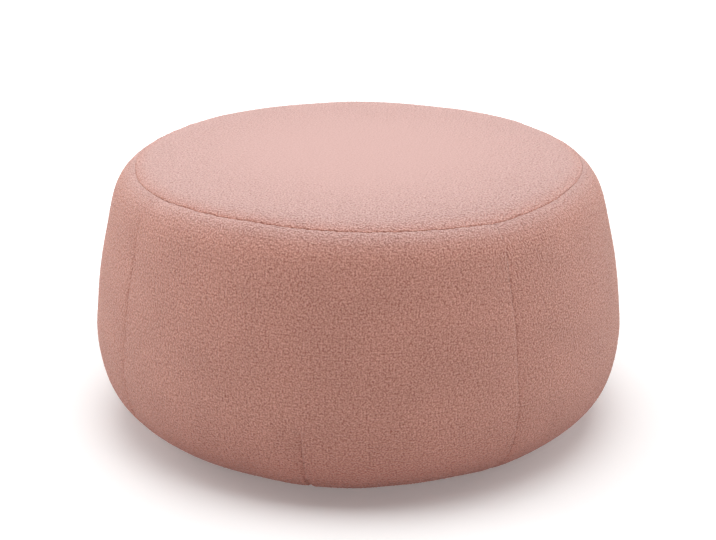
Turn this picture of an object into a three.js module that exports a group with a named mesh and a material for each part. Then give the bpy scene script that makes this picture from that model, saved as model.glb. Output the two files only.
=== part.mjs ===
// A round boucle pouf: a top panel, four side panels with a dart at each foot, and a base panel,
// sewn together over a firm filling. Each panel is modelled filled, as deep as the cushion behind it.
// Millimetres, +Z up. The origin is the middle of the base, on the floor, and the front is -Y.
// Azimuths are in degrees from the front, growing towards +X.
import * as THREE from 'three';
import * as BufferGeometryUtils from 'three/addons/utils/BufferGeometryUtils.js';

// Driving dimensions of the pouf.
const girthRadius = 350;
const seamRadius = 291.5;
const seamHeight = 342;
const crownRise = 14;
const crownPower = 4;
const footRadius = 246;
const baseRadius = 236;
const baseThickness = 3;
const panelNames = ['front', 'right', 'back', 'left'];

// The sewing: how the cloth rolls into a seam, how far a seam draws the side in, and the darts.
const rollWidth = 6;
const rollDepth = 3.2;
const valleyTilt = 57;
const seamDraw = 1.2;
const seamDrawReach = 45;
const dartHeight = 122;
const dartDepth = 2.8;

// The cut between the solids: a cone under the top seam, then a level shelf, a clearance apart.
const shelfDrop = 30;
const clearance = 0.3;

// Where the unevenness fades out, as shares of the side's outline and of the top's radius.
const dipFadeOnSide = 0.45;
const dipFadeOnTop = 0.7;
const underStart = 0.55;
const underFull = 0.85;

// How finely the faces are divided.
const columnsBesideDart = 9;
const rowsDownSide = 18;
const baseSegments = 96;
const crownRings = [0.94, 0.88, 0.8, 0.68, 0.5, 0.28];
const rollShares = [0, 0.15, 0.45, 1];
const dartSteps = [2, 5, 10];
const firstColumn = 20;
const firstRow = 16;

const boucleColour = 0xcb9385;

// The side's outline from below the top seam to where it turns under, as radius and height.
const sideOutline = [
  { radius: 317.8, height: 305.9 },
  { radius: 329.1, height: 266.0 },
  { radius: 339.7, height: 219.1 },
  { radius: 346.8, height: 167.7 },
  { radius: 350.0, height: 113.7 },
  { radius: 336.9, height: 58.8 },
  { radius: 304.4, height: 22.3 },
  { radius: 268.0, height: 5.2 },
];

// How the sewing and filling vary around the pouf. seamDip lowers the top seam, which hangs a little
// where two side panels join it. belly and under move the side out, at its girth and near the floor.
const unevenness = [
  { azimuth: 0, seamDip: -2.2, belly: 0.4, under: 0.9 },
  { azimuth: 10, seamDip: -0.7, belly: 0.5, under: 0.9 },
  { azimuth: 22, seamDip: 0.4, belly: 0.3, under: -0.9 },
  { azimuth: 34, seamDip: 2.4, belly: -0.1, under: -1.5 },
  { azimuth: 47, seamDip: 5.2, belly: -0.3, under: 0.5 },
  { azimuth: 60, seamDip: 2.6, belly: 0.1, under: -0.3 },
  { azimuth: 78, seamDip: -0.4, belly: 0.4, under: 0.2 },
  { azimuth: 96, seamDip: 0.6, belly: 0.0, under: 0.6 },
  { azimuth: 112, seamDip: 0.9, belly: -0.5, under: -0.6 },
  { azimuth: 128, seamDip: 0.2, belly: -0.3, under: 0.4 },
  { azimuth: 142, seamDip: -1.2, belly: 0.2, under: -0.2 },
  { azimuth: 156, seamDip: 0.0, belly: 0.4, under: -0.7 },
  { azimuth: 168, seamDip: 1.5, belly: 0.4, under: 0.5 },
  { azimuth: 194, seamDip: -0.6, belly: 0.1, under: 0.1 },
  { azimuth: 207, seamDip: 0.6, belly: -0.2, under: -0.8 },
  { azimuth: 226, seamDip: -0.3, belly: -0.4, under: 0.5 },
  { azimuth: 238, seamDip: -1.0, belly: 0.1, under: -0.4 },
  { azimuth: 258, seamDip: 0.2, belly: 0.0, under: 0.4 },
  { azimuth: 278, seamDip: 0.4, belly: -0.3, under: -0.5 },
  { azimuth: 300, seamDip: 2.4, belly: 0.0, under: 0.2 },
  { azimuth: 315, seamDip: 0.3, belly: -0.2, under: 0.3 },
  { azimuth: 330, seamDip: -2.6, belly: 0.4, under: -0.4 },
  { azimuth: 347, seamDip: -4.2, belly: 0.6, under: -1.1 },
];

const fullTurn = 360;
const panelCount = panelNames.length;
const halfPanel = fullTurn / panelCount / 2;
const halfPanelWidth = THREE.MathUtils.degToRad(halfPanel) * girthRadius;
const shelfHeight = seamHeight - shelfDrop;
const shelfRadius = seamRadius - shelfDrop;
const coneClearance = clearance * Math.SQRT2;
const pocketRadius = baseRadius + 2 * clearance;
const pocketHeight = baseThickness + clearance;

// Reads one column of the unevenness table at any azimuth, easing from row to row.
function unevennessAt(azimuth, column) {
  const turned = ((azimuth % fullTurn) + fullTurn) % fullTurn;
  const next = unevenness.findIndex((row) => row.azimuth > turned);
  const upper = next === -1 ? 0 : next;
  const lower = (upper + unevenness.length - 1) % unevenness.length;
  const start = unevenness[lower];
  const end = unevenness[upper];
  const endAzimuth = end.azimuth > start.azimuth ? end.azimuth : end.azimuth + fullTurn;
  const eased = THREE.MathUtils.smoothstep(turned, start.azimuth, endAzimuth);
  return THREE.MathUtils.lerp(start[column], end[column], eased);
}

// How deep the cloth lies at a distance from a seam: it rolls over into the seam as a quarter ellipse.
function rollSink(distance) {
  if (distance >= rollWidth) {
    return 0;
  }
  const inside = 1 - distance / rollWidth;
  return rollDepth * (1 - Math.sqrt(1 - inside * inside));
}

// Distances from a seam at which the rolled edge needs a point.
const rollSteps = rollShares.map((share) => share * rollWidth);

// The way out of the valley along the top seam, halfway between the faces of the top and the side.
const valleyAngle = THREE.MathUtils.degToRad(valleyTilt);
const outOfValley = new THREE.Vector3(Math.cos(valleyAngle), Math.sin(valleyAngle), 0);

// The lowest point of that valley, shared by the top and side panels.
function seamValley(azimuth) {
  const dip = unevennessAt(azimuth, 'seamDip');
  return new THREE.Vector2(
    seamRadius - rollDepth * outOfValley.x,
    seamHeight - dip - rollDepth * outOfValley.y,
  );
}

// Turns a point of a cut through the axis, given as radius and height, to its azimuth.
function turnTo(point, azimuth) {
  const angle = THREE.MathUtils.degToRad(azimuth);
  return new THREE.Vector3(point.x * Math.sin(angle), -point.x * Math.cos(angle), point.y);
}

// Columns of a panel, in degrees from its middle: close together at the seams and at the dart.
function panelColumns() {
  const lastColumn = halfPanelWidth - dartSteps.at(-1);
  const fromSeam = [...rollSteps];
  for (let step = 0; step < columnsBesideDart; step += 1) {
    fromSeam.push(THREE.MathUtils.lerp(firstColumn, lastColumn, step / columnsBesideDart));
  }
  fromSeam.push(...dartSteps.toReversed().map((step) => halfPanelWidth - step));
  const left = fromSeam.map((distance) => (distance / halfPanelWidth - 1) * halfPanel);
  const right = left.map((offset) => -offset).reverse();
  return [...left, 0, ...right];
}

// The side's outline as a smooth curve, with the point and the way out of the cloth at each row. Beside
// the top seam the way out turns towards that of the valley.
function sideRows() {
  const knots = [
    new THREE.Vector3(seamRadius, seamHeight, 0),
    ...sideOutline.map((knot) => new THREE.Vector3(knot.radius, knot.height, 0)),
    new THREE.Vector3(footRadius, 0, 0),
  ];
  const curve = new THREE.CatmullRomCurve3(knots, false, 'centripetal');
  const length = curve.getLength();
  const distances = rollSteps.slice(1);
  for (let row = 0; row < rowsDownSide; row += 1) {
    distances.push(THREE.MathUtils.lerp(firstRow, length, row / rowsDownSide));
  }
  return distances.map((distance) => {
    const share = distance / length;
    const tangent = curve.getTangentAt(share);
    const normal = new THREE.Vector3(-tangent.y, tangent.x, 0);
    const turned = THREE.MathUtils.smoothstep(distance, 0, 3 * rollWidth);
    return {
      distance,
      length,
      point: curve.getPointAt(share),
      normal: outOfValley.clone().lerp(normal, turned).normalize(),
    };
  });
}

// How deep the dart is: nothing at its tip, full depth a third of the way down, and narrow all along.
function dartSink(height, fromMiddle) {
  const depth = dartDepth * THREE.MathUtils.smoothstep(dartHeight - height, 0, dartHeight / 3);
  const share = Math.min(Math.abs(fromMiddle) / rollWidth, 1);
  return depth * (1 - share) ** 2;
}

// How far the side is drawn in near an upright seam, over a wider stretch than the seam's own roll.
function seamPull(toSeam, middling) {
  return seamDraw * middling * (1 - THREE.MathUtils.smoothstep(toSeam, 0, seamDrawReach));
}

// One point of a side panel's outer face, at a row of the outline and an offset from the panel's middle.
function sidePoint(row, offset, azimuth) {
  const arcOfDegree = THREE.MathUtils.degToRad(1) * row.point.x;
  const toSeam = (halfPanel - Math.abs(offset)) * arcOfDegree;
  const share = row.distance / row.length;
  const middling = Math.sin(Math.PI * share);
  const belly = unevennessAt(azimuth, 'belly') * middling;
  const under = unevennessAt(azimuth, 'under') * THREE.MathUtils.smoothstep(share, underStart, underFull);
  const rolled = Math.max(rollSink(row.distance), rollSink(toSeam));
  const sunk = rolled + dartSink(row.point.y, offset * arcOfDegree) + seamPull(toSeam, middling);
  const out = belly + under - sunk;
  const dip = unevennessAt(azimuth, 'seamDip') * (1 - THREE.MathUtils.smoothstep(share, 0, dipFadeOnSide));
  const x = row.point.x + row.normal.x * out;
  const y = row.point.y + row.normal.y * out - dip;
  return new THREE.Vector2(x, Math.max(y, clearance));
}

// The outline of a side panel's cut at one azimuth, from the base up the outside and in under the top.
function sideSection(rows, offset, azimuth) {
  const outline = [
    new THREE.Vector2(0, pocketHeight),
    new THREE.Vector2(pocketRadius, pocketHeight),
    new THREE.Vector2(pocketRadius, 0),
    new THREE.Vector2(footRadius, 0),
  ];
  for (const row of [...rows].reverse()) {
    outline.push(sidePoint(row, offset, azimuth));
  }
  outline.push(seamValley(azimuth));
  outline.push(new THREE.Vector2(shelfRadius, shelfHeight));
  outline.push(new THREE.Vector2(0, shelfHeight));
  return outline.map((point) => turnTo(point, offset));
}

// The outline of the top panel's cut at one azimuth, from its underside round the rim to the crown.
function topSection(azimuth) {
  const valley = seamValley(azimuth);
  const dip = unevennessAt(azimuth, 'seamDip');
  const outline = [
    new THREE.Vector2(0, shelfHeight + coneClearance),
    new THREE.Vector2(shelfRadius, shelfHeight + coneClearance),
    new THREE.Vector2(valley.x, valley.y + coneClearance),
  ];
  const rings = rollSteps.slice(1).map((distance) => seamRadius - distance);
  rings.push(...crownRings.map((share) => share * seamRadius));
  for (const radius of rings) {
    const share = radius / seamRadius;
    const crown = crownRise * (1 - share ** crownPower);
    const dipHere = dip * THREE.MathUtils.smoothstep(share, dipFadeOnTop, 1);
    const height = seamHeight + crown - dipHere - rollSink(seamRadius - radius);
    outline.push(new THREE.Vector2(radius, height));
  }
  outline.push(new THREE.Vector2(0, seamHeight + crownRise));
  return outline.map((point) => turnTo(point, azimuth));
}

// Triangles that close a flat cut, facing the way that side (1 or -1) of the azimuth points.
function capFaces(section, firstIndex, side) {
  const flat = section.map((point) => new THREE.Vector2(Math.hypot(point.x, point.y), point.z));
  return THREE.ShapeUtils.triangulateShape(flat, []).map(([a, b, c]) => {
    const turn = THREE.ShapeUtils.area([flat[a], flat[b], flat[c]]);
    const face = turn * side > 0 ? [a, c, b] : [a, b, c];
    return face.map((index) => index + firstIndex);
  });
}

// Two triangles across four points that go round a patch, parted along its shorter diagonal.
function patchFaces(points, [a, b, c, d]) {
  const across = points[a].distanceToSquared(points[c]) <= points[b].distanceToSquared(points[d]);
  return across ? [[a, b, c], [a, c, d]] : [[a, b, d], [b, c, d]];
}

// Joins sections through the axis into one closed solid. Points on the axis are shared, and the
// triangles that shrink to nothing there are left out.
function solidFromSections(sections, goesRound) {
  const points = sections.flat();
  const rowCount = sections[0].length;
  const columnCount = sections.length;
  const faces = [];
  for (let column = 0; column < (goesRound ? columnCount : columnCount - 1); column += 1) {
    for (let row = 0; row < rowCount; row += 1) {
      const here = column * rowCount;
      const beside = ((column + 1) % columnCount) * rowCount;
      const above = (row + 1) % rowCount;
      faces.push(...patchFaces(points, [here + row, beside + row, beside + above, here + above]));
    }
  }
  if (!goesRound) {
    faces.push(...capFaces(sections[0], 0, -1));
    faces.push(...capFaces(sections.at(-1), (columnCount - 1) * rowCount, 1));
  }
  const loose = new THREE.BufferGeometry();
  const numbers = points.flatMap((point) => point.toArray());
  loose.setAttribute('position', new THREE.Float32BufferAttribute(numbers, 3));
  loose.setIndex(faces.flat());
  const joined = BufferGeometryUtils.mergeVertices(loose, 0.001);
  const kept = [];
  for (let start = 0; start < joined.index.count; start += 3) {
    const face = [0, 1, 2].map((corner) => joined.index.getX(start + corner));
    if (new Set(face).size === 3) {
      kept.push(...face);
    }
  }
  joined.setIndex(kept);
  joined.computeVertexNormals();
  return joined;
}

function boucle() {
  return new THREE.MeshStandardMaterial({ color: boucleColour, roughness: 0.95, metalness: 0 });
}

// The round top: a flat crown that falls away towards the seam, with a bevelled underside.
function topPanel(columns) {
  const azimuths = panelNames.flatMap((name, panel) => (
    columns.slice(0, -1).map((offset) => offset + panel * 2 * halfPanel)
  ));
  const geometry = solidFromSections(azimuths.map((azimuth) => topSection(azimuth)), true);
  const mesh = new THREE.Mesh(geometry, boucle());
  mesh.name = 'top_panel';
  return mesh;
}

// A quarter of the side. It is built facing the front, turned to its place, and set out from the axis
// so that neighbouring panels stand the clearance apart.
function sidePanel(name, panel, columns, rows) {
  const middle = panel * 2 * halfPanel;
  const sections = columns.map((offset) => sideSection(rows, offset, offset + middle));
  const mesh = new THREE.Mesh(solidFromSections(sections, false), boucle());
  mesh.name = `side_panel_${name}`;
  mesh.rotation.z = THREE.MathUtils.degToRad(middle);
  mesh.position.copy(turnTo(new THREE.Vector2(clearance / Math.SQRT2, 0), middle));
  return mesh;
}

// The plain disc that closes the cover under the pouf.
function basePanel() {
  const outline = [
    new THREE.Vector2(0, 0),
    new THREE.Vector2(baseRadius, 0),
    new THREE.Vector2(baseRadius, baseThickness),
    new THREE.Vector2(0, baseThickness),
  ];
  const disc = new THREE.LatheGeometry(outline, baseSegments);
  disc.rotateX(Math.PI / 2);
  const mesh = new THREE.Mesh(disc, boucle());
  mesh.name = 'base_panel';
  return mesh;
}

const columns = panelColumns();
const rows = sideRows();
const group = new THREE.Group();
group.name = 'boucle_pouf';
group.add(topPanel(columns));
panelNames.forEach((name, panel) => group.add(sidePanel(name, panel, columns, rows)));
group.add(basePanel());

export default group;
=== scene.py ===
"""A round boucle pouf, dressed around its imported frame: four side panels, a top panel and a base panel.

Everything is in metres, +Z up, with the front of the pouf towards -Y. Azimuths are in degrees from the
front, growing towards +X.
"""
import math

import bpy
import numpy as np
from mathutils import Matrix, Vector


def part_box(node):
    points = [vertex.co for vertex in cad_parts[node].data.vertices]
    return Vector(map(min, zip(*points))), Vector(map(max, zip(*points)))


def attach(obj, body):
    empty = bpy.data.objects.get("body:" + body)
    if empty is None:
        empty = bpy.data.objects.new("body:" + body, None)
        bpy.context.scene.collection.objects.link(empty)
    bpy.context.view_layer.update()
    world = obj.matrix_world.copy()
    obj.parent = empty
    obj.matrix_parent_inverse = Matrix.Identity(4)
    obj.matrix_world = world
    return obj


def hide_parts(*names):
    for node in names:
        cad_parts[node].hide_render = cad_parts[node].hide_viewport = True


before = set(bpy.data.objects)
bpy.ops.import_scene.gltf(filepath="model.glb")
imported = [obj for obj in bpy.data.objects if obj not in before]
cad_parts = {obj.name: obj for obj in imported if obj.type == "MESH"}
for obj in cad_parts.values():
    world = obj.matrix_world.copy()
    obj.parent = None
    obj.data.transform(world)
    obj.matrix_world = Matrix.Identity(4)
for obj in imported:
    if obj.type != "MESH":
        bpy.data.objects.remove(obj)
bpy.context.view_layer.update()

# The side: four panels of boucle round a firm filling, which swells them a little between their seams. Each
# is sewn to the next by an upright seam, rolls over into every seam, turns under at the foot, and has a dart
# there that takes in its fullness.
MM = 0.001
PANELS = ("front", "right", "back", "left")
TURN = 360
HALF_PANEL = TURN / len(PANELS) / 2
_, base_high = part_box("base_panel")
BASE_RADIUS = base_high.x

# The covers stand this far apart, and inside the pouf the top's cuts end this far below and within its seam.
CLEARANCE = 0.3 * MM
SHELF_DROP = 30 * MM

# The side's outline from the top seam to the floor, as (radius, height) in millimetres.
SIDE_OUTLINE = np.array([
    (291.5, 342.0), (306.0, 327.4), (318.0, 305.9), (329.1, 266.0), (339.7, 219.1), (346.8, 167.7),
    (350.0, 113.7), (336.9, 58.8), (304.4, 22.3), (268.0, 5.2), (246.0, 0.0),
]) * MM
SEAM_RADIUS, SEAM_HEIGHT = SIDE_OUTLINE[0]
GIRTH_RADIUS = SIDE_OUTLINE[:, 0].max()

# How the sewing and filling vary round the pouf: (azimuth, dip of the top seam in millimetres, belly at
# the girth, under near the floor and shoulder below the top seam in millimetres, share of the seam's depth).
UNEVEN = np.array([
    (0, -2.2, 0.4, 0.9, 0.0, 1.0), (10, -0.7, 0.5, 0.9, 0.0, 0.9), (22, 0.4, 0.3, -0.9, 0.0, 0.9),
    (34, 2.4, -0.1, -1.5, 0.3, 0.8), (47, 5.2, -0.3, 0.5, 0.6, 0.9), (60, 2.6, 0.1, -0.3, 0.7, 0.9),
    (78, -0.4, 0.4, 0.2, 0.8, 0.4), (96, 0.6, 0.0, 0.6, 0.9, 0.0), (112, 0.9, -0.5, -0.6, 0.9, 0.2),
    (128, 0.2, -0.3, 0.4, 1.2, 0.7), (142, -1.2, 0.2, -0.2, 1.0, 1.0), (156, 0.0, 0.4, -0.7, 0.6, 0.9),
    (168, 1.5, 0.4, 0.5, 0.4, 1.0), (194, -0.6, 0.1, 0.1, 0.3, 0.8), (207, 0.6, -0.2, -0.8, 0.4, 1.0),
    (226, -0.3, -0.4, 0.5, 1.0, 0.9), (238, -1.0, 0.1, -0.4, 2.0, 0.7), (258, 0.2, 0.0, 0.4, 2.0, 0.4),
    (278, 0.4, -0.3, -0.5, 2.2, 0.3), (300, 2.4, 0.0, 0.2, 1.6, 0.8), (315, 0.3, -0.2, 0.3, 1.2, 1.1),
    (330, -2.6, 0.4, -0.4, 0.4, 1.2), (347, -4.2, 0.6, -1.1, 0.0, 1.1),
])
DIP, BELLY, UNDER, SHOULDER, PULL = 1, 2, 3, 4, 5

# How far down the side these reach: the dip and the under as shares of its length, the shoulder as a
# distance from the top seam.
DIP_END = 0.45
UNDER_FROM = 0.55
UNDER_FULL = 0.85
SHOULDER_START = 25 * MM
SHOULDER_END = 110 * MM

# The top seam: the cloth rolls over towards it, and its stitches pull a narrow groove. Its valley opens at
# this angle above level, and below it that direction turns to the side's own.
ROLL_DEPTH = 2.8 * MM
ROLL_WIDTH = 11 * MM
GROOVE_DEPTH = 0.7 * MM
GROOVE_WIDTH = 3 * MM
GROOVE_UNEVENNESS = 0.3
VALLEY_TILT = math.radians(57)
NORMAL_TURN = 18 * MM

# The upright seams lie in shallower rolls, which are shallowest where the top seam draws the cloth taut.
UPRIGHT_ROLL_DEPTH = 0.9 * MM
UPRIGHT_ROLL_WIDTH = 5 * MM
UPRIGHT_LEAST = 0.3
TAUT_REACH = 110 * MM

# The drift of the stitching: its size, how far from a seam the cloth follows it, how many waves it makes in
# a turn round the pouf, and where they start along each line.
SEAM_WANDER = 0.45 * MM
WANDER_REACH = 25 * MM
WANDER_WAVES = (33, 59, 107, 203)
TOP_WANDER_START = 0
UPRIGHT_WANDER_START = 0.3
GROOVE_WANDER_START = 0.7

# The darts: a little to the right of each panel's middle, from the foot up to this height.
DART_AZIMUTH = 0.9
DART_HEIGHT = 122 * MM
DART_TAPER = DART_HEIGHT / 6
DART_DEPTH = 3.0 * MM
DART_WIDTH = 4.8 * MM

# The coarse shell whose swell is simulated. Pressure and tension are in the simulation's own units, and the
# cloth is cut fuller than the outline by this share.
SHELL_COLUMNS = 144
SHELL_ROWS = 33
FILLING_PRESSURE = 8
CLOTH_TENSION = 3
CLOTH_FULLNESS = 0.002
SETTLING_FRAMES = 20
SETTLING_STEPS = 5

# The covers' points lie a cloth step apart, closing to a seam step between these distances from a seam.
CLOTH_STEP = 1.72 * MM
SEAM_STEP = 1.0 * MM
SEAM_NEAR = 4.8 * MM
SEAM_FAR = 12.8 * MM
CURVE_POINTS = 60


def ease(value, start, end):
    """A smooth rise from 0 at start to 1 at end."""
    share = np.clip((value - start) / (end - start), 0, 1)
    return share * share * (3 - 2 * share)


def uneven_at(azimuth, column):
    """One column of the unevenness table at any azimuth, eased from row to row."""
    turned = np.mod(azimuth, TURN)
    rows = np.vstack([UNEVEN, UNEVEN[0]])
    rows[-1, 0] += TURN
    row = np.clip(np.searchsorted(rows[:, 0], turned, side="right") - 1, 0, len(UNEVEN) - 1)
    share = ease(turned, rows[row, 0], rows[row + 1, 0])
    return rows[row, column] * (1 - share) + rows[row + 1, column] * share


def smooth_line(knots, place_along):
    """Points along a smooth curve through the knots, at the distances that place_along gives its length."""
    ends = np.vstack([2 * knots[0] - knots[1], knots, 2 * knots[-1] - knots[-2]])
    fine = []
    for start in range(len(knots) - 1):
        a, b, c, d = ends[start:start + 4]
        t = np.linspace(0, 1, CURVE_POINTS, endpoint=start == len(knots) - 2)[:, None]
        fine.append(0.5 * (2 * b + (c - a) * t + (2 * a - 5 * b + 4 * c - d) * t**2
                           + (3 * b - 3 * c + d - a) * t**3))
    fine = np.vstack(fine)
    along = np.concatenate([[0], np.cumsum(np.hypot(*np.diff(fine, axis=0).T))])
    distances = place_along(along[-1])
    points = np.stack([np.interp(distances, along, fine[:, axis]) for axis in (0, 1)], 1)
    return points, distances


def stepped(length, *close_places):
    """Distances from 0 to length a cloth step apart, and closer near the given places."""
    distances = [0.0]
    while distances[-1] < length:
        near = min(abs(distances[-1] - place) for place in close_places)
        blend = float(ease(near, SEAM_NEAR, SEAM_FAR))
        distances.append(distances[-1] + SEAM_STEP + (CLOTH_STEP - SEAM_STEP) * blend)
    return np.array(distances) * (length / distances[-1])


def wander(turns, start):
    """The drift of stitching done by eye, mostly from -1 to 1, at a place along it in turns."""
    waves = [np.sin(2 * math.pi * (count * turns + start * count**2)) for count in WANDER_WAVES]
    return sum(waves) / 2


def roll(distance, width, depth):
    """How deep the cloth lies at a distance from a seam, where it rolls over by this width and depth."""
    return depth * (1 - np.clip(distance / width, 0, 1)) ** 2


def sunk(distance, azimuth, roll_width, groove_width):
    """How deep the cloth lies at a distance from the top seam, in its roll and its stitches' groove."""
    inside = 1 - np.clip(distance / groove_width, 0, 1)
    depth = GROOVE_DEPTH * (1 + GROOVE_UNEVENNESS * wander(azimuth / TURN, GROOVE_WANDER_START))
    groove = depth * (1 - np.sqrt(1 - inside**2))
    return uneven_at(azimuth, PULL) * (groove + roll(distance, roll_width, ROLL_DEPTH))


def turned_to(radius, height, azimuth):
    """Points at a radius, height and azimuth."""
    angle = np.radians(azimuth)
    return np.stack([radius * np.sin(angle), -radius * np.cos(angle), height + 0 * angle], -1)


def outward(line):
    """The direction out of the pouf at each point of its outline, as (radius, height)."""
    tangent = np.gradient(line, axis=0)
    normal = np.stack([-tangent[:, 1], tangent[:, 0]], 1)
    return normal / np.hypot(*normal.T)[:, None]


def add_shell(line, azimuth):
    """A coarse closed copy of the cover, with a group of the points that seams, darts and edges hold."""
    row_count, column_count = len(line), len(azimuth)
    points = np.stack([turned_to(radius, height, azimuth) for radius, height in line])
    number = np.arange(row_count * column_count).reshape(row_count, column_count)
    beside = np.roll(number, -1, 1)
    faces = np.stack([number[:-1], number[1:], beside[1:], beside[:-1]], -1).reshape(-1, 4).tolist()
    faces += [number[0].tolist(), number[-1, ::-1].tolist()]
    mesh = bpy.data.meshes.new("shell")
    mesh.from_pydata(points.reshape(-1, 3).tolist(), [], faces)
    shell = bpy.data.objects.new("shell", mesh)
    bpy.context.scene.collection.objects.link(shell)
    held = np.zeros((row_count, column_count), bool)
    held[[0, -1]] = True
    held[:, np.isclose(azimuth % (2 * HALF_PANEL), HALF_PANEL)] = True
    held[np.ix_(line[:, 1] < DART_HEIGHT, np.isclose(azimuth % (2 * HALF_PANEL), 0))] = True
    shell.vertex_groups.new(name="held").add(np.flatnonzero(held).tolist(), 1, "REPLACE")
    return shell, points


def simulated_swell():
    """How far the filling swells the cloth out, by cloth simulation, over a coarse grid of the side.

    The outline is that of each panel where it is fullest, so the rest is drawn in from it.
    """
    line, _ = smooth_line(SIDE_OUTLINE, lambda length: np.linspace(0, length, SHELL_ROWS))
    azimuth = np.arange(SHELL_COLUMNS) * TURN / SHELL_COLUMNS
    shell, start = add_shell(line, azimuth)
    filled = shell.modifiers.new("filled", "CLOTH")
    filled.settings.quality = SETTLING_STEPS
    filled.settings.vertex_group_mass = "held"
    filled.settings.use_pressure = True
    filled.settings.uniform_pressure_force = FILLING_PRESSURE
    filled.settings.tension_stiffness = CLOTH_TENSION
    filled.settings.compression_stiffness = CLOTH_TENSION
    filled.settings.shrink_min = -CLOTH_FULLNESS
    filled.settings.effector_weights.gravity = 0
    filled.collision_settings.use_collision = False
    for moment in range(1, SETTLING_FRAMES + 1):
        bpy.context.scene.frame_set(moment)
    settled = np.zeros(start.size, np.float32)
    shell.evaluated_get(bpy.context.evaluated_depsgraph_get()).data.vertices.foreach_get("co", settled)
    bpy.data.objects.remove(shell)
    bpy.context.scene.frame_set(1)
    normal = outward(line)
    out = turned_to(normal[:, :1], normal[:, 1:], azimuth)
    swell = np.sum((settled.reshape(start.shape) - start) * out, -1)
    return swell - swell.max(axis=1, keepdims=True)


SWELL = simulated_swell()


def curve_weights(share):
    """How much four grid points in a row count at a share of the way from the second to the third."""
    return np.stack([-share**3 + 2 * share**2 - share, 3 * share**3 - 5 * share**2 + 2,
                     -3 * share**3 + 4 * share**2 + share, share**3 - share**2]) / 2


def swell_at(azimuth, share):
    """The simulated swell at any azimuth and share of the way down the side."""
    column = azimuth % TURN / TURN * SHELL_COLUMNS
    row = share * (SHELL_ROWS - 1)
    first_column = np.floor(column).astype(int)
    first_row = np.minimum(np.floor(row).astype(int), SHELL_ROWS - 2)
    total = 0
    for row_step, row_weight in enumerate(curve_weights(row - first_row), start=-1):
        for column_step, column_weight in enumerate(curve_weights(column - first_column), start=-1):
            near_row = np.clip(first_row + row_step, 0, SHELL_ROWS - 1)
            near_column = (first_column + column_step) % SHELL_COLUMNS
            total = total + row_weight * column_weight * SWELL[near_row, near_column]
    return total


def side_surface(middle, columns, line, down):
    """The outer face of the side panel about one azimuth.

    Columns run from -1 to 1 across the panel, and line and down are the outline's points and how far each
    is from the top seam. Returns the points, their places on the flat cloth and how near a seam each is.
    """
    offset = np.broadcast_to(columns * HALF_PANEL, (len(down), len(columns)))
    azimuth = offset + middle
    radius, height = line[:, :1], line[:, 1:]
    from_top = down[:, None]
    share = from_top / down[-1]
    turned = ease(from_top, 0, NORMAL_TURN)
    normal = np.array([math.cos(VALLEY_TILT), math.sin(VALLEY_TILT)]) * (1 - turned) + outward(line) * turned
    normal /= np.hypot(*normal.T)[:, None]
    arc = np.radians(1) * radius
    to_seam = (HALF_PANEL - np.abs(offset)) * arc
    along_seam = from_top / (2 * math.pi * SEAM_RADIUS)
    sideways = SEAM_WANDER * wander(along_seam, UPRIGHT_WANDER_START) * (1 - ease(to_seam, 0, WANDER_REACH))
    to_dart = np.abs(offset - DART_AZIMUTH) * arc
    dart_depth = DART_DEPTH * ease(DART_HEIGHT - height, 0, DART_TAPER)
    slack = ease(from_top, 0, TAUT_REACH)
    upright_depth = UPRIGHT_ROLL_DEPTH * (UPRIGHT_LEAST + (1 - UPRIGHT_LEAST) * slack)
    shoulder = ease(from_top, 0, SHOULDER_START) * (1 - ease(from_top, SHOULDER_START, SHOULDER_END))
    out = MM * (uneven_at(azimuth, BELLY) * np.sin(np.pi * share) + uneven_at(azimuth, SHOULDER) * shoulder
                + uneven_at(azimuth, UNDER) * ease(share, UNDER_FROM, UNDER_FULL))
    out = out + swell_at(azimuth, share) - roll(to_dart, DART_WIDTH, dart_depth)
    out = out - np.maximum(sunk(from_top, azimuth, ROLL_WIDTH, GROOVE_WIDTH),
                           roll(to_seam, UPRIGHT_ROLL_WIDTH, upright_depth))
    dip = MM * uneven_at(azimuth, DIP) * (1 - ease(share, 0, DIP_END))
    drift = wander(azimuth / TURN, TOP_WANDER_START) * (1 - ease(from_top, 0, WANDER_REACH))
    dip = dip + SEAM_WANDER * drift
    flat = np.stack(np.broadcast_arrays(np.radians(offset) * radius, from_top, 0.0), -1)
    drifted = azimuth + sideways / arc
    above_floor = np.maximum(height + normal[:, 1:] * out - dip, 0)
    points = turned_to(radius + normal[:, :1] * out, above_floor, drifted)
    nearness = np.minimum(np.minimum(from_top, to_seam), down[-1] - from_top)
    return points, flat, np.where(dart_depth > 0, np.minimum(nearness, to_dart), nearness)


def keep_measure(mesh, name, values):
    """Keeps one number for each of the mesh's first points, and 0 for the rest."""
    measures = np.zeros(len(mesh.vertices), np.float32)
    measures[:len(values)] = values
    mesh.attributes.new(name, "FLOAT", "POINT").data.foreach_set("value", measures)


def add_mesh(name, points, faces, flat):
    """A smooth-shaded object of these points and faces. Its first points have a place on the flat cloth."""
    mesh = bpy.data.meshes.new(name)
    mesh.from_pydata(points.tolist(), [], faces)
    places = np.zeros((len(points), 3), np.float32)
    places[:len(flat)] = flat
    mesh.attributes.new("place", "FLOAT_VECTOR", "POINT").data.foreach_set("vector", places.ravel())
    mesh.shade_smooth()
    mesh.validate()
    piece = bpy.data.objects.new(name, mesh)
    bpy.context.scene.collection.objects.link(piece)
    return piece


def strip_faces(upper, lower):
    """Quads between two rows of point numbers of the same length, facing out of the pouf."""
    return np.stack([upper[:-1], lower[:-1], lower[1:], upper[1:]], 1).tolist()


half_width = math.radians(HALF_PANEL) * GIRTH_RADIUS
dart_place = half_width + math.radians(DART_AZIMUTH) * GIRTH_RADIUS
side_columns = stepped(2 * half_width, 0, dart_place, 2 * half_width) / half_width - 1
side_line, side_down = smooth_line(SIDE_OUTLINE, lambda length: stepped(length, 0))

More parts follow.
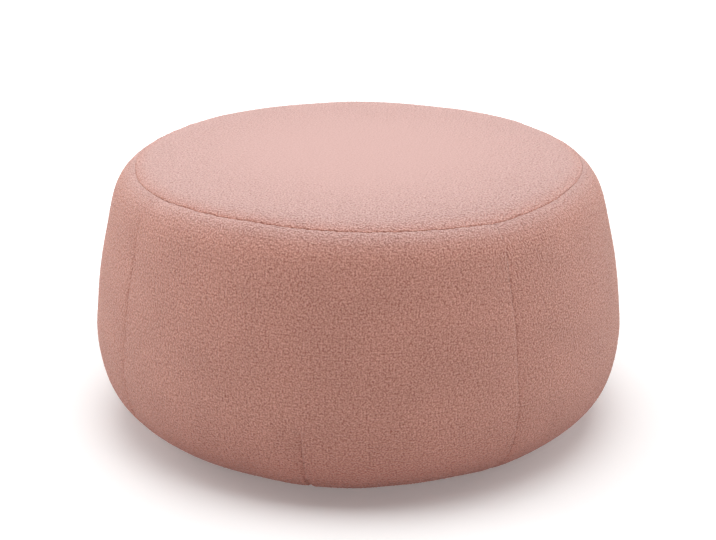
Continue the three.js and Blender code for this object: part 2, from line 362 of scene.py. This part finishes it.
# Boucle of wool and polyester, dyed in the yarn and woven with loops left standing. The loops crowd into
# nubs some 4 mm apart with pits between, and the cloth is matt. Shade is painted dark into the pits and
# light is painted pale onto the nubs. Its fibre is far finer than a pixel, and is drawn as coarse as tufts
# 0.6 mm apart.
NUB_PITCH = 3.6 * MM
NUB_SCATTER = 0.6
NUB_TOP = 0.1
NUB_EDGE = 0.85
CURL_PITCH = 2.0 * MM
CURL_LOW = 0.25
CURL_HIGH = 0.75
CURL_SHARE = 0.6
FIBRE_PITCH = 0.6 * MM
FIBRE_SHARE = 0.15
BEND_PITCH = 5 * MM
BEND = 0.5 * MM
CLOUD_PITCH = 70 * MM
CLOUD_DEPTH = 0.03
CLOUD_LOW = 0.3
CLOUD_HIGH = 0.7
PILE_DEPTH = 1.2 * MM
PRESSED_HEIGHT = 0.5
# Painted shade makes the pits' colour dark, and painted light makes the nubs' colour pale.
PIT_COLOUR = "#A6604F"
NUB_COLOUR = "#E1AA9A"

# A painted sheen of overhead light, paler and less red, comes in above this facing, and painted shade on
# cloth that turns under grows between the two others. Facing is 1 for straight up and -1 for straight down.
PAINTED_SHEEN_START = 0.45
SHEEN_PIT_COLOUR = "#B18279"
SHEEN_NUB_COLOUR = "#DEB9B3"
# Painted shade on cloth that turns under: where it starts and ends in facing, and its colour.
UNDER_SHADE_START = 0.1
UNDER_SHADE_END = -0.8
UNDER_SHADE_COLOUR = "#D4B9B1"


def linear(colour):
    """An sRGB hex colour as linear red, green, blue and alpha."""
    parts = [int(colour[place:place + 2], 16) / 255 for place in (1, 3, 5)]
    return (*[part / 12.92 if part <= 0.04045 else ((part + 0.055) / 1.055) ** 2.4 for part in parts], 1)


def add_node(tree, kind, settings=None, links=None):
    """Adds a node, sets its sockets and properties, and links other nodes' outputs to its sockets."""
    node = tree.nodes.new(kind)
    for key, value in (settings or {}).items():
        if isinstance(key, int) or key in node.inputs:
            node.inputs[key].default_value = value
        else:
            setattr(node, key, value)
    for key, output in (links or {}).items():
        tree.links.new(output, node.inputs[key])
    return node


def boucle_height(tree, place):
    """Adds the nodes that give the boucle's height at a place on the cloth, from 0 in its pits to 1."""
    drift = add_node(tree, "ShaderNodeTexNoise",
                     {"noise_dimensions": "2D", "Scale": 1 / BEND_PITCH, "Detail": 0}, {"Vector": place})
    centred = add_node(tree, "ShaderNodeVectorMath", {"operation": "SUBTRACT", 1: (0.5, 0.5, 0.5)},
                       {0: drift.outputs["Color"]})
    bent = add_node(tree, "ShaderNodeVectorMath", {"operation": "MULTIPLY_ADD", 1: (2 * BEND, 2 * BEND, 0)},
                    {0: centred.outputs[0], 2: place}).outputs[0]
    nub = add_node(tree, "ShaderNodeTexVoronoi",
                   {"voronoi_dimensions": "2D", "Scale": 1 / NUB_PITCH, "Randomness": NUB_SCATTER},
                   {"Vector": bent})
    nubs = add_node(tree, "ShaderNodeMapRange", {"From Min": NUB_EDGE, "From Max": NUB_TOP},
                    {"Value": nub.outputs[0]})
    curl = add_node(tree, "ShaderNodeTexNoise",
                    {"noise_dimensions": "2D", "Scale": 1 / CURL_PITCH, "Detail": 0}, {"Vector": bent})
    curls = add_node(tree, "ShaderNodeMapRange", {"From Min": CURL_LOW, "From Max": CURL_HIGH},
                     {"Value": curl.outputs[0]})
    mixed = add_node(tree, "ShaderNodeMix", {0: CURL_SHARE}, {2: nubs.outputs[0], 3: curls.outputs[0]})
    return mixed.outputs[0]


def boucle_material():
    """The boucle's finish, from the depth of its pits to the tops of its nubs.

    Light and shade are painted into its colours. Cloth that faces up has a painted sheen of overhead
    light, paler and less red, and cloth that turns under has painted shade, darker and redder. Its pits
    have painted shade and its nubs painted light. Where the nap is pressed flat, its pits and their
    painted shade show less.
    """
    material = bpy.data.materials.new("dusty_pink_boucle")
    material.use_nodes = True
    tree = material.node_tree
    tree.nodes.clear()
    place = add_node(tree, "ShaderNodeAttribute", {"attribute_name": "place"}).outputs["Vector"]
    painted_light_facing = add_node(tree, "ShaderNodeAttribute", {"attribute_name": "painted_light_facing"}).outputs["Fac"]
    # Painted sheen of overhead light: cloth that faces up is painted paler and less red.
    painted_sheen = add_node(tree, "ShaderNodeMapRange",
                     {"interpolation_type": "SMOOTHSTEP", "From Min": PAINTED_SHEEN_START, "From Max": 1.0},
                     {"Value": painted_light_facing}).outputs[0]
    pressed = add_node(tree, "ShaderNodeAttribute", {"attribute_name": "pressed"}).outputs["Fac"]
    height = add_node(tree, "ShaderNodeMix", {3: PRESSED_HEIGHT},
                      {0: pressed, 2: boucle_height(tree, place)}).outputs[0]
    fibre = add_node(tree, "ShaderNodeTexNoise",
                     {"noise_dimensions": "2D", "Scale": 1 / FIBRE_PITCH, "Detail": 1, "Distortion": 1},
                     {"Vector": place})
    relief = add_node(tree, "ShaderNodeMath", {"operation": "MULTIPLY_ADD", 1: FIBRE_SHARE},
                      {0: fibre.outputs[0], 2: height})
    cloud = add_node(tree, "ShaderNodeTexNoise",
                     {"noise_dimensions": "2D", "Scale": 1 / CLOUD_PITCH, "Detail": 3}, {"Vector": place})
    cloudy = add_node(tree, "ShaderNodeMapRange",
                      {"From Min": CLOUD_LOW, "From Max": CLOUD_HIGH,
                       "To Min": 1 - CLOUD_DEPTH, "To Max": 1 + CLOUD_DEPTH}, {"Value": cloud.outputs[0]})
    dye = add_node(tree, "ShaderNodeMix", {3: 1.0}, {0: painted_sheen, 2: cloudy.outputs[0]})
    # Painted shade on cloth that turns under, darker and redder towards the floor.
    under = add_node(tree, "ShaderNodeMapRange",
                     {"interpolation_type": "SMOOTHSTEP", "From Min": UNDER_SHADE_START, "From Max": UNDER_SHADE_END},
                     {"Value": painted_light_facing})
    # The pits' and nubs' colours, and their paler copies that carry the painted sheen.
    pit = add_node(tree, "ShaderNodeMix",
                   {"data_type": "RGBA", 6: linear(PIT_COLOUR), 7: linear(SHEEN_PIT_COLOUR)}, {0: painted_sheen})
    nub = add_node(tree, "ShaderNodeMix",
                   {"data_type": "RGBA", 6: linear(NUB_COLOUR), 7: linear(SHEEN_NUB_COLOUR)}, {0: painted_sheen})
    # Painted shade in the pits and painted light on the nubs, by the boucle's height.
    yarn = add_node(tree, "ShaderNodeMix", {"data_type": "RGBA"},
                    {0: height, 6: pit.outputs[2], 7: nub.outputs[2]})
    shaded = add_node(tree, "ShaderNodeMix",
                      {"data_type": "RGBA", "blend_type": "MULTIPLY", 7: linear(UNDER_SHADE_COLOUR)},
                      {0: under.outputs[0], 6: yarn.outputs[2]})
    tinted = add_node(tree, "ShaderNodeVectorMath", {"operation": "SCALE"},
                      {0: shaded.outputs[2], "Scale": dye.outputs[0]})
    bump = add_node(tree, "ShaderNodeBump", {"Distance": PILE_DEPTH}, {"Height": relief.outputs[0]})
    cloth = add_node(tree, "ShaderNodeBsdfPrincipled",
                     {"Roughness": 0.95, "Sheen Weight": 0.3, "Sheen Roughness": 0.6,
                      "Specular IOR Level": 0.1},
                     {"Base Color": tinted.outputs[0], "Normal": bump.outputs[0]})
    add_node(tree, "ShaderNodeOutputMaterial", links={"Surface": cloth.outputs[0]})
    return material


boucle = boucle_material()

# The tops of the nubs are part of each cover's shape: they are lifted in its mesh.
lifting = bpy.data.node_groups.new("boucle_lifting", "GeometryNodeTree")
lifting.interface.new_socket("Cover", in_out="INPUT", socket_type="NodeSocketGeometry")
lifting.interface.new_socket("Cover", in_out="OUTPUT", socket_type="NodeSocketGeometry")
smooth_cover = add_node(lifting, "NodeGroupInput").outputs[0]
place = add_node(lifting, "GeometryNodeInputNamedAttribute", {"data_type": "FLOAT_VECTOR", "Name": "place"})
standing = add_node(lifting, "GeometryNodeInputNamedAttribute", {"Name": "standing"})
way_out = add_node(lifting, "GeometryNodeInputNormal").outputs[0]
above_middle = add_node(lifting, "ShaderNodeMath", {"operation": "SUBTRACT", 1: 0.5},
                        {0: boucle_height(lifting, place.outputs[0])})
lift = add_node(lifting, "ShaderNodeMath", {"operation": "MULTIPLY"},
                {0: above_middle.outputs[0], 1: standing.outputs[0]})
lift = add_node(lifting, "ShaderNodeMath", {"operation": "MULTIPLY", 1: PILE_DEPTH}, {0: lift.outputs[0]})
offset = add_node(lifting, "ShaderNodeVectorMath", {"operation": "SCALE"},
                  {0: way_out, "Scale": lift.outputs[0]})
lifted = add_node(lifting, "GeometryNodeSetPosition",
                  links={"Geometry": smooth_cover, "Offset": offset.outputs[0]})
add_node(lifting, "NodeGroupOutput", links={0: lifted.outputs[0]})


def raise_pile(piece):
    """Lifts the nubs of the pile in the piece's own mesh, for good."""
    piece.modifiers.new("pile", "NODES").node_group = lifting
    shaped = bpy.data.meshes.new_from_object(piece.evaluated_get(bpy.context.evaluated_depsgraph_get()))
    piece.modifiers.clear()
    piece.data = shaped


# On the side covers the nubs die down at the seams and where the pouf stands on them, and where the cloth
# rolls over into the top seam more painted sheen of overhead light is laid on than its facing gives.
# Each cover is cut from its own stretch of cloth, this many metres along from the last one's.
PILE_FADE = 1.3 * MM
FOOT_FADE = 3 * MM
ROLL_SHEEN = 0.12
CUT_SPACING = 1.0


def side_cover(name, number):
    """One side panel as a closed piece: boucle outside, and inside the same cuts as its frame."""
    middle = number * 2 * HALF_PANEL
    cloth, flat, nearness = side_surface(middle, side_columns, side_line, side_down)
    cloth = cloth + turned_to(CLEARANCE / math.sqrt(2), 0, np.array(middle))
    flat = flat + (number * CUT_SPACING, 0, 0)
    row_count, column_count = nearness.shape
    grid = np.arange(row_count * column_count).reshape(row_count, column_count)
    faces = [face for row in range(row_count - 1)
             for face in strip_faces(grid[row], grid[row + 1])]
    azimuth = side_columns * HALF_PANEL + middle
    clear_radius = BASE_RADIUS + 2 * CLEARANCE
    clear_height = base_high.z + CLEARANCE
    shelf_height = SEAM_HEIGHT - SHELF_DROP
    cuts = ((clear_radius, 0), (clear_radius, clear_height), (SEAM_RADIUS - SHELF_DROP, shelf_height))
    set_out = turned_to(CLEARANCE, 0, np.array(middle))
    inner = [turned_to(radius, height, azimuth) + set_out for radius, height in cuts]
    axis = turned_to(np.full(2, CLEARANCE), np.array([clear_height, shelf_height]), middle)
    start = row_count * column_count
    ground, pocket, shelf = (np.arange(column_count) + start + column_count * step for step in range(3))
    low_axis = start + 3 * column_count
    high_axis = low_axis + 1
    faces += strip_faces(grid[-1], ground) + strip_faces(ground, pocket) + strip_faces(shelf, grid[0])
    faces += [(a, low_axis, b) for a, b in zip(pocket[:-1].tolist(), pocket[1:].tolist())]
    faces += [(a, b, high_axis) for a, b in zip(shelf[:-1].tolist(), shelf[1:].tolist())]
    left = [high_axis, shelf[0], *grid[:, 0], ground[0], pocket[0], low_axis]
    right = [high_axis, shelf[-1], *grid[:, -1], ground[-1], pocket[-1], low_axis]
    faces.append([int(index) for index in left[::-1]])
    faces.append([int(index) for index in right])
    piece = add_mesh(name, np.vstack([cloth.reshape(-1, 3), *inner, axis]), faces, flat.reshape(-1, 3))
    # Painted sheen and shade follow this facing, with more painted sheen where the cloth rolls into the top
    # seam.
    painted_light_facing = outward(side_line)[:, 1] + ROLL_SHEEN * (1 - ease(side_down, 0, ROLL_WIDTH))
    keep_measure(piece.data, "painted_light_facing", np.repeat(painted_light_facing, column_count))
    standing = ease(nearness, 0, PILE_FADE) * ease(cloth[:, :, 2], 0, FOOT_FADE)
    keep_measure(piece.data, "standing", standing.ravel())
    return piece


for number, side in enumerate(PANELS):
    cover = side_cover(f"side_cover_{side}", number)
    cover.data.materials.append(boucle)
    raise_pile(cover)
    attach(cover, "root")
    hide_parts(f"side_panel_{side}")

# The top: one round of the same boucle, stretched flat over the filling and falling away a little
# before the seam that joins it to the side all round. Use has pressed its nap flatter towards the middle,
# which also fades the painted shade of its pits there, and shade is painted on at the rim.
_, top_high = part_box("top_panel")
CROWN_RISE = top_high.z - SEAM_HEIGHT
CROWN_POWER = 9.5

# At the rim the top's roll and groove are wider than the side's, and the table's dip starts at this share of
# the radius. Under the rim the top's cuts stay clear of the side's.
TOP_DIP_START = 0.8
RIM_WIDTH = 36 * MM
RIM_GROOVE_WIDTH = 5 * MM
SHELF_GAP = 1.4 * CLEARANCE

# Painted shade at the rim takes this much off the facing, over this width, and the nap is pressed flatter
# between these distances from the seam.
RIM_SHADE = 0.16
RIM_SHADE_WIDTH = 26 * MM
PRESSED_FROM = 40 * MM
PRESSED_TO = 220 * MM
PRESSING = 0.65

# The top is meshed in rings, each with this many more points than the last, that crowd towards the rim.
RING_COUNT = 176
RING_GAIN = 6
RING_CROWDING = 0.4


def ring_start(ring):
    """The number of the first point of a round grid's ring."""
    return 1 + RING_GAIN * ring * (ring - 1) // 2 if ring > 0 else 0


def disc_points(radius, ring_count):
    """A round grid's points as (radius, azimuth), ring by ring from its middle."""
    rings = [np.zeros((1, 2))]
    for ring in range(1, ring_count + 1):
        share = ring / ring_count
        share += RING_CROWDING * share * (1 - share)
        point_count = RING_GAIN * ring
        angle = np.arange(point_count) * (TURN / point_count)
        rings.append(np.stack([np.full(point_count, radius * share), angle], 1))
    return np.vstack(rings)


def disc_faces(ring_count):
    """Triangles of the round grid, facing up."""
    faces = []
    for ring in range(1, ring_count + 1):
        inner_start = ring_start(ring - 1)
        outer_start = ring_start(ring)
        inner_count = max(RING_GAIN * (ring - 1), 1)
        outer_count = RING_GAIN * ring
        sextant, step = np.divmod(np.arange(outer_count), ring)
        outer = outer_start + np.arange(outer_count)
        outer_next = outer_start + (np.arange(outer_count) + 1) % outer_count
        inner = inner_start + (sextant * (ring - 1) + step) % inner_count
        faces += np.stack([inner, outer, outer_next], 1).tolist()
        if ring > 1:
            between = step < ring - 1
            inner_next = inner_start + (sextant * (ring - 1) + step + 1) % inner_count
            faces += np.stack([inner, outer_next, inner_next], 1)[between].tolist()
    return faces


def top_cover():
    """The top panel as a closed piece: boucle above, and below the cone and level cut of its frame."""
    grid = disc_points(SEAM_RADIUS, RING_COUNT)
    radius, azimuth = grid[:, 0], grid[:, 1]
    share = radius / SEAM_RADIUS
    to_seam = SEAM_RADIUS - radius
    dip = MM * uneven_at(azimuth, DIP) * ease(share, TOP_DIP_START, 1)
    drift = wander(azimuth / TURN, TOP_WANDER_START) * (1 - ease(to_seam, 0, WANDER_REACH))
    dip = dip + SEAM_WANDER * drift
    depth = sunk(to_seam, azimuth, RIM_WIDTH, RIM_GROOVE_WIDTH)
    height = SEAM_HEIGHT + CROWN_RISE * (1 - share**CROWN_POWER) - dip - depth * math.sin(VALLEY_TILT)
    drawn_in = depth * math.cos(VALLEY_TILT)
    cloth = turned_to(radius - drawn_in, height, azimuth)
    rim = np.arange(ring_start(RING_COUNT), len(cloth))
    shelf = turned_to(SEAM_RADIUS - SHELF_DROP, SEAM_HEIGHT - SHELF_DROP + SHELF_GAP, azimuth[rim])
    under = rim + len(rim)
    faces = disc_faces(RING_COUNT)
    faces += strip_faces(np.append(rim, rim[0]), np.append(under, under[0]))
    faces.append(under[::-1].tolist())
    flat = turned_to(radius, 0, azimuth) + (len(PANELS) * CUT_SPACING, 0, 0)
    piece = add_mesh("top_cover", np.vstack([cloth, shelf]), faces, flat)
    normals = np.zeros(3 * len(piece.data.vertices), np.float32)
    piece.data.vertex_normals.foreach_get("vector", normals)
    # Painted shade at the rim: less painted sheen near the seam.
    rim_shade = RIM_SHADE * (1 - ease(to_seam, 0, RIM_SHADE_WIDTH))
    keep_measure(piece.data, "painted_light_facing", normals[2::3][:len(rim_shade)] - rim_shade)
    pressed = PRESSING * ease(to_seam, PRESSED_FROM, PRESSED_TO)
    keep_measure(piece.data, "pressed", pressed)
    keep_measure(piece.data, "standing", ease(to_seam, 0, PILE_FADE) * (1 - pressed))
    return piece


cover = top_cover()
cover.data.materials.append(boucle)
raise_pile(cover)
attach(cover, "root")
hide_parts("top_panel")

# The base: a disc of plain woven cotton, pulled flat under the filling and sewn to the feet of the side
# panels. It is matt and smooth beside the boucle, with the even grid of its threads, and doesn't show
# when the pouf stands.
THREAD_PITCH = 0.8 * MM
THREAD_RELIEF = 0.25 * MM
SLUB_PITCH = 6 * MM
SLUB_SHARE = 0.6
THREAD_GAP_COLOUR = "#8A5F55"
THREAD_COLOUR = "#BD8E83"
BASE_RING_COUNT = 40
base_weave = bpy.data.materials.new("plain_woven_cotton")
base_weave.use_nodes = True
tree = base_weave.node_tree
tree.nodes.clear()
place = add_node(tree, "ShaderNodeAttribute", {"attribute_name": "place"}).outputs["Vector"]
turns = add_node(tree, "ShaderNodeVectorMath", {"operation": "SCALE", "Scale": math.pi / THREAD_PITCH},
                 {0: place})
across = add_node(tree, "ShaderNodeSeparateXYZ", links={0: turns.outputs[0]})
warp = add_node(tree, "ShaderNodeMath", {"operation": "SINE"}, {0: across.outputs[0]})
weft = add_node(tree, "ShaderNodeMath", {"operation": "SINE"}, {0: across.outputs[1]})
over_under = add_node(tree, "ShaderNodeMath", {"operation": "MULTIPLY"},
                      {0: warp.outputs[0], 1: weft.outputs[0]})
thread = add_node(tree, "ShaderNodeMapRange", {"From Min": -1.0}, {"Value": over_under.outputs[0]})
slub = add_node(tree, "ShaderNodeTexNoise", {"noise_dimensions": "2D", "Scale": 1 / SLUB_PITCH, "Detail": 3},
                {"Vector": place})
uneven_thread = add_node(tree, "ShaderNodeMath", {"operation": "MULTIPLY_ADD", 1: SLUB_SHARE},
                         {0: slub.outputs[0], 2: thread.outputs[0]})
woven = add_node(tree, "ShaderNodeMix", {"data_type": "RGBA", 6: linear(THREAD_GAP_COLOUR),
                 7: linear(THREAD_COLOUR)}, {0: uneven_thread.outputs[0]})
bump = add_node(tree, "ShaderNodeBump", {"Distance": THREAD_RELIEF}, {"Height": uneven_thread.outputs[0]})
plain = add_node(tree, "ShaderNodeBsdfPrincipled",
                 {"Roughness": 0.85, "Sheen Weight": 0.1, "Specular IOR Level": 0.3},
                 {"Base Color": woven.outputs[2], "Normal": bump.outputs[0]})
add_node(tree, "ShaderNodeOutputMaterial", links={"Surface": plain.outputs[0]})

grid = disc_points(BASE_RADIUS, BASE_RING_COUNT)
rim_start = ring_start(BASE_RING_COUNT)
at_rim = np.arange(len(grid)) >= rim_start
lower_face = turned_to(grid[:, 0], base_high.z / 2 * at_rim, grid[:, 1])
upper_face = turned_to(grid[:rim_start, 0], np.full(rim_start, base_high.z), grid[:rim_start, 1])
faces_up = np.array(disc_faces(BASE_RING_COUNT))
faces = faces_up[:, ::-1].tolist() + np.where(faces_up < rim_start, faces_up + len(grid), faces_up).tolist()
base_place = turned_to(grid[:, 0], 0, grid[:, 1]) + ((len(PANELS) + 1) * CUT_SPACING, 0, 0)
base_cover = add_mesh("base_cover", np.vstack([lower_face, upper_face]), faces, base_place)
base_cover.data.materials.append(base_weave)
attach(base_cover, "root")
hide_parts("base_panel")

# The stage: a floor of plain white paper that runs past the view. It is matt and glows with painted light,
# weaker near the pouf, which paints a soft shade round it, and stronger away from it.
FLOOR_SIZE = 12.0
PAPER_COLOUR = "#F3F3F3"
WHITE = "#FFFFFF"
NEAR_GLOW = 0.2
FAR_GLOW = 1.0
GLOW_START = 0.42
GLOW_END = 2.4
floor_mesh = bpy.data.meshes.new("floor")
half = FLOOR_SIZE / 2
corners = [(-half, -half, 0), (half, -half, 0), (half, half, 0), (-half, half, 0)]
floor_mesh.from_pydata(corners, [], [(0, 1, 2, 3)])
floor = bpy.data.objects.new("floor", floor_mesh)
bpy.context.scene.collection.objects.link(floor)
paper = bpy.data.materials.new("white_studio_paper")
paper.use_nodes = True
tree = paper.node_tree
tree.nodes.clear()
on_floor = add_node(tree, "ShaderNodeTexCoord").outputs["Object"]
distance = add_node(tree, "ShaderNodeVectorMath", {"operation": "LENGTH"}, {0: on_floor}).outputs["Value"]
# Painted light: the paper's glow, weaker near the pouf to paint a soft shade round it.
glow = add_node(tree, "ShaderNodeMapRange",
                {"interpolation_type": "SMOOTHSTEP", "From Min": GLOW_START, "From Max": GLOW_END,
                 "To Min": NEAR_GLOW, "To Max": FAR_GLOW}, {"Value": distance})
sheet = add_node(tree, "ShaderNodeBsdfPrincipled",
                 {"Base Color": linear(PAPER_COLOUR), "Roughness": 1.0, "Specular IOR Level": 0.0,
                  "Emission Color": linear(WHITE)}, {"Emission Strength": glow.outputs[0]})
add_node(tree, "ShaderNodeOutputMaterial", links={"Surface": sheet.outputs[0]})
floor.data.materials.append(paper)

# The softboxes: their azimuths are set from the camera's, their sizes and distances are in metres, and
# their powers in watts.
PHOTO_AZIMUTH = 12
LIGHT_AIM = Vector((0, 0, 0.45 * top_high.z))


def add_softbox(name, azimuth, elevation, distance, size, power):
    """A square softbox at a direction and distance from the pouf, facing it."""
    light = bpy.data.lights.new(name, "AREA")
    light.shape = "SQUARE"
    light.size = size
    light.energy = power
    lamp = bpy.data.objects.new(name, light)
    a, e = math.radians(azimuth), math.radians(elevation)
    away = Vector((math.sin(a) * math.cos(e), -math.cos(a) * math.cos(e), math.sin(e)))
    lamp.location = LIGHT_AIM + away * distance
    lamp.rotation_euler = (-away).to_track_quat("-Z", "Y").to_euler()
    bpy.context.scene.collection.objects.link(lamp)


add_softbox("overhead_softbox", PHOTO_AZIMUTH, elevation=90, distance=2.2, size=2.6, power=74.2)
add_softbox("left_softbox", PHOTO_AZIMUTH - 95, elevation=25, distance=2.4, size=1.8, power=20.4)
add_softbox("right_softbox", PHOTO_AZIMUTH + 95, elevation=25, distance=2.4, size=1.8, power=12.9)
add_softbox("right_front_softbox", PHOTO_AZIMUTH + 50, elevation=30, distance=2.6, size=1.8, power=2.8)
add_softbox("back_softbox", PHOTO_AZIMUTH + 180, elevation=45, distance=2.6, size=2.0, power=2.8)

# Past the paper's edge the view is as white, and no light on the pouf comes from there.
world = bpy.data.worlds.new("white_surround")
world.use_nodes = True
world.node_tree.nodes["Background"].inputs["Color"].default_value = linear(WHITE)
bpy.context.scene.world = world
world.cycles_visibility.diffuse = False
world.cycles_visibility.glossy = False
bpy.context.scene.view_settings.view_transform = "Standard"

# The camera stands where the photograph's did, worked out from the pouf's outline and seams. Its lens and
# sensor are in millimetres.
CAMERA_ELEVATION = 21.17
CAMERA_DISTANCE = 6.0 * GIRTH_RADIUS
FOCUS_HEIGHT = 0.46 * GIRTH_RADIUS
AIM_HEIGHT = 0.5305 * GIRTH_RADIUS
AIM_ASIDE = -0.0015 * GIRTH_RADIUS
CAMERA_LENS = 78.07
SENSOR_WIDTH = 36
camera_data = bpy.data.cameras.new("camera")
camera_data.lens = CAMERA_LENS
camera_data.sensor_width = SENSOR_WIDTH
camera = bpy.data.objects.new("camera", camera_data)
a, e = math.radians(PHOTO_AZIMUTH), math.radians(CAMERA_ELEVATION)
camera.location = (math.sin(a) * math.cos(e) * CAMERA_DISTANCE, -math.cos(a) * math.cos(e) * CAMERA_DISTANCE,
                   math.sin(e) * CAMERA_DISTANCE + FOCUS_HEIGHT)
aim = Vector((math.cos(a) * AIM_ASIDE, math.sin(a) * AIM_ASIDE, AIM_HEIGHT))
camera.rotation_euler = (aim - camera.location).to_track_quat("-Z", "Y").to_euler()
bpy.context.scene.collection.objects.link(camera)
bpy.context.scene.camera = camera
